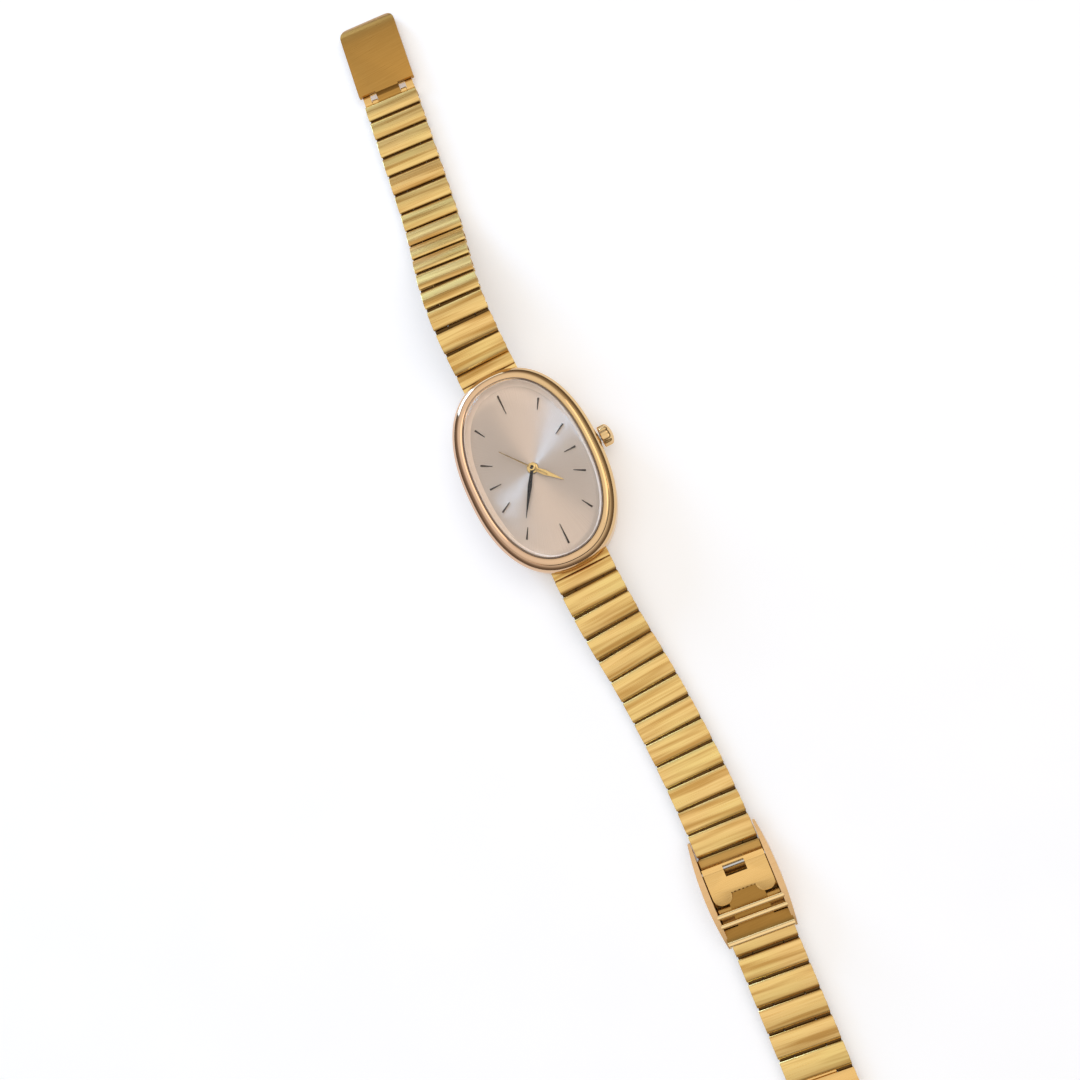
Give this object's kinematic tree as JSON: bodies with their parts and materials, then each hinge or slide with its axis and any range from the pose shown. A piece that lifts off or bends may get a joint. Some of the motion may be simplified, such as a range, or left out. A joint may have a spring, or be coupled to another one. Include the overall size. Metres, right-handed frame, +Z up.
{
  "type": "wristwatch",
  "caption": "Ladies' dress wristwatch: oval case, bevelled crystal, baton markers, narrow link bracelet with hinged cover plate and sliding lock-plate buckle, laid open.",
  "frame": {"origin": "centre of the flat case back, under the hands' axis; the case back rests on the table at z = 0", "axes": "+X to the crown at 3 o'clock, +Y to 12 o'clock along the upper half of the bracelet, +Z up out of the dial"},
  "size_m": [0.0236, 0.18, 0.0078],
  "materials": {
    "case_gold": "polished, pale gold plated",
    "strap_gold": "satin yellow gold plated with polished crests",
    "steel": "satin",
    "dial": "silvered, sunburst",
    "marker": "polished, dark",
    "hand": "polished gold",
    "glass": "clear, bevelled edge",
    "seal": "matte",
    "nylon": "clear to white gasket plastic",
    "movement": "plain",
    "copper": "enamelled wire"
  },
  "bodies": {
    "case": {"case": "case_gold", "bezel_ring": "case_gold", "case_back": "steel", "back_gasket": "seal", "crystal": "glass", "crystal_gasket": "nylon", "dial_ring": "case_gold", "dial": "dial", "hour_markers": "marker", "movement_plate": "movement", "movement_holder": "nylon", "battery": "steel", "motor_coil": "copper", "stem_tube": "steel", "spring_bars": "steel"},
    "hour_hand": {"hour_hand": "hand"},
    "minute_hand": {"minute_hand": "hand"},
    "second_hand": {"second_hand": "hand"},
    "clutch_pinion": {"clutch_pinion": "steel"},
    "crown": {"crown": "case_gold", "winding_stem": "steel"},
    "upper_link_1": {"upper_link_1": "strap_gold"},
    "upper_link_2": {"upper_link_2": "strap_gold"},
    "upper_link_3": {"upper_link_3": "strap_gold"},
    "upper_link_4": {"upper_link_4": "strap_gold"},
    "upper_link_5": {"upper_link_5": "strap_gold"},
    "upper_link_6": {"upper_link_6": "strap_gold"},
    "upper_link_7": {"upper_link_7": "strap_gold"},
    "upper_link_8": {"upper_link_8": "strap_gold"},
    "upper_link_9": {"upper_link_9": "strap_gold"},
    "upper_link_10": {"upper_link_10": "strap_gold"},
    "upper_link_11": {"upper_link_11": "strap_gold"},
    "upper_link_12": {"upper_link_12": "strap_gold"},
    "upper_link_13": {"upper_link_13": "strap_gold"},
    "upper_link_14": {"upper_link_14": "strap_gold"},
    "upper_link_15": {"upper_link_15": "strap_gold"},
    "upper_link_16": {"upper_link_16": "strap_gold"},
    "lower_link_1": {"lower_link_1": "strap_gold"},
    "lower_link_2": {"lower_link_2": "strap_gold"},
    "lower_link_3": {"lower_link_3": "strap_gold"},
    "lower_link_4": {"lower_link_4": "strap_gold"},
    "lower_link_5": {"lower_link_5": "strap_gold"},
    "lower_link_6": {"lower_link_6": "strap_gold"},
    "lower_link_7": {"lower_link_7": "strap_gold"},
    "lower_link_8": {"lower_link_8": "strap_gold"},
    "lower_link_9": {"lower_link_9": "strap_gold"},
    "lower_link_10": {"lower_link_10": "strap_gold"},
    "lower_link_11": {"lower_link_11": "strap_gold"},
    "lower_link_12": {"lower_link_12": "strap_gold"},
    "lower_link_13": {"lower_link_13": "strap_gold"},
    "buckle_links": {"buckle_links": "strap_gold"},
    "tail_link_1": {"tail_link_1": "strap_gold"},
    "tail_link_2": {"tail_link_2": "strap_gold"},
    "tail_link_3": {"tail_link_3": "strap_gold"},
    "tail_link_4": {"tail_link_4": "strap_gold"},
    "tail_link_5": {"tail_link_5": "strap_gold"},
    "cover_plate": {"cover_plate": "strap_gold"},
    "hook_leaf": {"hook_leaf": "strap_gold"},
    "clasp_frame": {"clasp_frame": "strap_gold"},
    "lock_plate": {"lock_plate": "strap_gold"}
  },
  "joints": [
    {"name": "upper_link_1_hinge", "type": "hinge", "parent": "case", "child": "upper_link_1", "pos_m": [0, 0.0142, 0.0032], "axis": [1, 0, 0], "range_deg": [-32.6, 2.3]},
    {"name": "upper_link_2_hinge", "type": "hinge", "parent": "upper_link_1", "child": "upper_link_2", "pos_m": [0, 0.01876, 0.00381], "axis": [1, 0, 0], "range_deg": [-31.5, 0]},
    {"name": "upper_link_3_hinge", "type": "hinge", "parent": "upper_link_2", "child": "upper_link_3", "pos_m": [0.00008, 0.02192, 0.00531], "axis": [0.9997, -0.0244, 0], "range_deg": [-11.8, 14.1]},
    {"name": "upper_link_4_hinge", "type": "hinge", "parent": "upper_link_3", "child": "upper_link_4", "pos_m": [0.00023, 0.02514, 0.00668], "axis": [0.9988, -0.0488, 0], "range_deg": [0, 30.9]},
    {"name": "upper_link_5_hinge", "type": "hinge", "parent": "upper_link_4", "child": "upper_link_5", "pos_m": [0.00049, 0.02862, 0.00692], "axis": [0.9973, -0.0732, 0], "range_deg": [0, 27]},
    {"name": "upper_link_6_hinge", "type": "hinge", "parent": "upper_link_5", "child": "upper_link_6", "pos_m": [0.00083, 0.03204, 0.00626], "axis": [0.9952, -0.0976, 0], "range_deg": [-6.6, 19.3]},
    {"name": "upper_link_7_hinge", "type": "hinge", "parent": "upper_link_6", "child": "upper_link_7", "pos_m": [0.00123, 0.03534, 0.00516], "axis": [0.9925, -0.1219, 0], "range_deg": [-6.9, 19]},
    {"name": "upper_link_8_hinge", "type": "hinge", "parent": "upper_link_7", "child": "upper_link_8", "pos_m": [0.00162, 0.03848, 0.00366], "axis": [0.9925, -0.1219, 0], "range_deg": [-14, 12]},
    {"name": "upper_link_9_hinge", "type": "hinge", "parent": "upper_link_8", "child": "upper_link_9", "pos_m": [0.002, 0.04162, 0.00216], "axis": [0.9925, -0.1219, 0], "range_deg": [-21, 4.9]},
    {"name": "upper_link_10_hinge", "type": "hinge", "parent": "upper_link_9", "child": "upper_link_10", "pos_m": [0.00241, 0.04492, 0.00106], "axis": [0.9925, -0.1219, 0], "range_deg": [-25.6, 0.3]},
    {"name": "upper_link_11_hinge", "type": "hinge", "parent": "upper_link_10", "child": "upper_link_11", "pos_m": [0.00283, 0.04837, 0.00066], "axis": [0.9925, -0.1219, 0], "range_deg": [-20.5, 5.4]},
    {"name": "upper_link_12_hinge", "type": "hinge", "parent": "upper_link_11", "child": "upper_link_12", "pos_m": [0.00326, 0.05184, 0.00066], "axis": [0.9925, -0.1219, 0], "range_deg": [-14, 12]},
    {"name": "upper_link_13_hinge", "type": "hinge", "parent": "upper_link_12", "child": "upper_link_13", "pos_m": [0.00368, 0.05532, 0.00066], "axis": [0.9925, -0.1219, 0], "range_deg": [-14, 12]},
    {"name": "upper_link_14_hinge", "type": "hinge", "parent": "upper_link_13", "child": "upper_link_14", "pos_m": [0.00411, 0.05879, 0.00066], "axis": [0.9925, -0.1219, 0], "range_deg": [-14, 12]},
    {"name": "upper_link_15_hinge", "type": "hinge", "parent": "upper_link_14", "child": "upper_link_15", "pos_m": [0.00454, 0.06226, 0.00066], "axis": [0.9925, -0.1219, 0], "range_deg": [-14, 12]},
    {"name": "upper_link_16_hinge", "type": "hinge", "parent": "upper_link_15", "child": "upper_link_16", "pos_m": [0.00496, 0.06574, 0.00066], "axis": [0.9925, -0.1219, 0], "range_deg": [-14, 12]},
    {"name": "lower_link_1_hinge", "type": "hinge", "parent": "case", "child": "lower_link_1", "pos_m": [0, -0.0142, 0.0032], "axis": [1, 0, 0], "range_deg": [-12.3, 22.6]},
    {"name": "lower_link_2_hinge", "type": "hinge", "parent": "lower_link_1", "child": "lower_link_2", "pos_m": [0, -0.0188, 0.00301], "axis": [1, 0, 0], "range_deg": [-17.3, 8.6]},
    {"name": "lower_link_3_hinge", "type": "hinge", "parent": "lower_link_2", "child": "lower_link_3", "pos_m": [0.00008, -0.02226, 0.00254], "axis": [0.9998, 0.0218, 0], "range_deg": [-14.3, 11.6]},
    {"name": "lower_link_4_hinge", "type": "hinge", "parent": "lower_link_3", "child": "lower_link_4", "pos_m": [0.00023, -0.02571, 0.00193], "axis": [0.999, 0.0436, 0], "range_deg": [-12, 14]},
    {"name": "lower_link_5_hinge", "type": "hinge", "parent": "lower_link_4", "child": "lower_link_5", "pos_m": [0.00045, -0.02915, 0.00132], "axis": [0.9979, 0.0654, 0], "range_deg": [-9.6, 16.3]},
    {"name": "lower_link_6_hinge", "type": "hinge", "parent": "lower_link_5", "child": "lower_link_6", "pos_m": [0.00075, -0.0326, 0.00085], "axis": [0.9962, 0.0872, 0], "range_deg": [-7.3, 18.6]},
    {"name": "lower_link_7_hinge", "type": "hinge", "parent": "lower_link_6", "child": "lower_link_7", "pos_m": [0.001, -0.03609, 0.00066], "axis": [0.9976, 0.0698, 0], "range_deg": [-8.9, 17]},
    {"name": "lower_link_8_hinge", "type": "hinge", "parent": "lower_link_7", "child": "lower_link_8", "pos_m": [0.00118, -0.03958, 0.00066], "axis": [0.9986, 0.0523, 0], "range_deg": [-12, 14]},
    {"name": "lower_link_9_hinge", "type": "hinge", "parent": "lower_link_8", "child": "lower_link_9", "pos_m": [0.0013, -0.04308, 0.00066], "axis": [0.9994, 0.0349, 0], "range_deg": [-10.9, 15]},
    {"name": "lower_link_10_hinge", "type": "hinge", "parent": "lower_link_9", "child": "lower_link_10", "pos_m": [0.00136, -0.04658, 0.00073], "axis": [0.9998, 0.0175, 0], "range_deg": [-10.7, 15.2]},
    {"name": "lower_link_11_hinge", "type": "hinge", "parent": "lower_link_10", "child": "lower_link_11", "pos_m": [0.00136, -0.05008, 0.00087], "axis": [1, 0, 0], "range_deg": [-12, 14]},
    {"name": "lower_link_12_hinge", "type": "hinge", "parent": "lower_link_11", "child": "lower_link_12", "pos_m": [0.0013, -0.05357, 0.00101], "axis": [0.9998, -0.0175, 0], "range_deg": [-13.2, 12.7]},
    {"name": "lower_link_13_hinge", "type": "hinge", "parent": "lower_link_12", "child": "lower_link_13", "pos_m": [0.00118, -0.05707, 0.00108], "axis": [0.9994, -0.0349, 0], "range_deg": [-13, 12.9]},
    {"name": "buckle_links_hinge", "type": "hinge", "parent": "lower_link_13", "child": "buckle_links", "pos_m": [0.001, -0.06056, 0.00108], "axis": [0.9986, -0.0523, 0], "range_deg": [-12, 14]},
    {"name": "tail_link_1_hinge", "type": "hinge", "parent": "buckle_links", "child": "tail_link_1", "pos_m": [-0.00022, -0.07802, 0.00108], "axis": [0.9976, -0.0698, 0], "range_deg": [-13, 12.9]},
    {"name": "tail_link_2_hinge", "type": "hinge", "parent": "tail_link_1", "child": "tail_link_2", "pos_m": [-0.00047, -0.08151, 0.00101], "axis": [0.9976, -0.0698, 0], "range_deg": [-13.2, 12.7]},
    {"name": "tail_link_3_hinge", "type": "hinge", "parent": "tail_link_2", "child": "tail_link_3", "pos_m": [-0.00071, -0.085, 0.00087], "axis": [0.9976, -0.0698, 0], "range_deg": [-12, 14]},
    {"name": "tail_link_4_hinge", "type": "hinge", "parent": "tail_link_3", "child": "tail_link_4", "pos_m": [-0.00096, -0.08849, 0.00073], "axis": [0.9976, -0.0698, 0], "range_deg": [-10.7, 15.2]},
    {"name": "tail_link_5_hinge", "type": "hinge", "parent": "tail_link_4", "child": "tail_link_5", "pos_m": [-0.0012, -0.09198, 0.00066], "axis": [0.9976, -0.0698, 0], "range_deg": [-10.9, 15]},
    {"name": "cover_plate_hinge", "type": "hinge", "parent": "upper_link_16", "child": "cover_plate", "pos_m": [0.00539, 0.06921, 0.00066], "axis": [0.9925, -0.1219, 0], "range_deg": [0, 85]},
    {"name": "hook_leaf_hinge", "type": "hinge", "parent": "upper_link_16", "child": "hook_leaf", "pos_m": [0.00539, 0.06921, 0.00066], "axis": [0.9925, -0.1219, 0], "range_deg": [-40, 0]},
    {"name": "buckle_slide", "type": "slide", "parent": "buckle_links", "child": "clasp_frame", "axis": [-0.0698, -0.9976, 0], "range_m": [0, 0.0035]},
    {"name": "lock_plate_hinge", "type": "hinge", "parent": "clasp_frame", "child": "lock_plate", "pos_m": [0.00085, -0.06266, 0.00294], "axis": [-0.9976, 0.0698, 0], "range_deg": [0, 70]},
    {"name": "second_hand_spin", "type": "hinge", "parent": "case", "child": "second_hand", "pos_m": [0, 0, 0.00505], "axis": [0, 0, -1], "continuous": true},
    {"name": "minute_hand_spin", "type": "hinge", "parent": "case", "child": "minute_hand", "pos_m": [0, 0, 0.00505], "axis": [0, 0, -1], "continuous": true},
    {"name": "hour_hand_spin", "type": "hinge", "parent": "case", "child": "hour_hand", "pos_m": [0, 0, 0.00505], "axis": [0, 0, -1], "continuous": true},
    {"name": "crown_spin", "type": "hinge", "parent": "case", "child": "clutch_pinion", "pos_m": [0.00485, 0, 0.0032], "axis": [1, 0, 0], "continuous": true},
    {"name": "crown_pull", "type": "slide", "parent": "clutch_pinion", "child": "crown", "axis": [1, 0, 0], "range_m": [0, 0.0009]}
  ],
  "couplings": [
    {"joint": "minute_hand_spin", "follows": "second_hand_spin", "ratio": 0.016667},
    {"joint": "hour_hand_spin", "follows": "second_hand_spin", "ratio": 0.0013889}
  ]
}
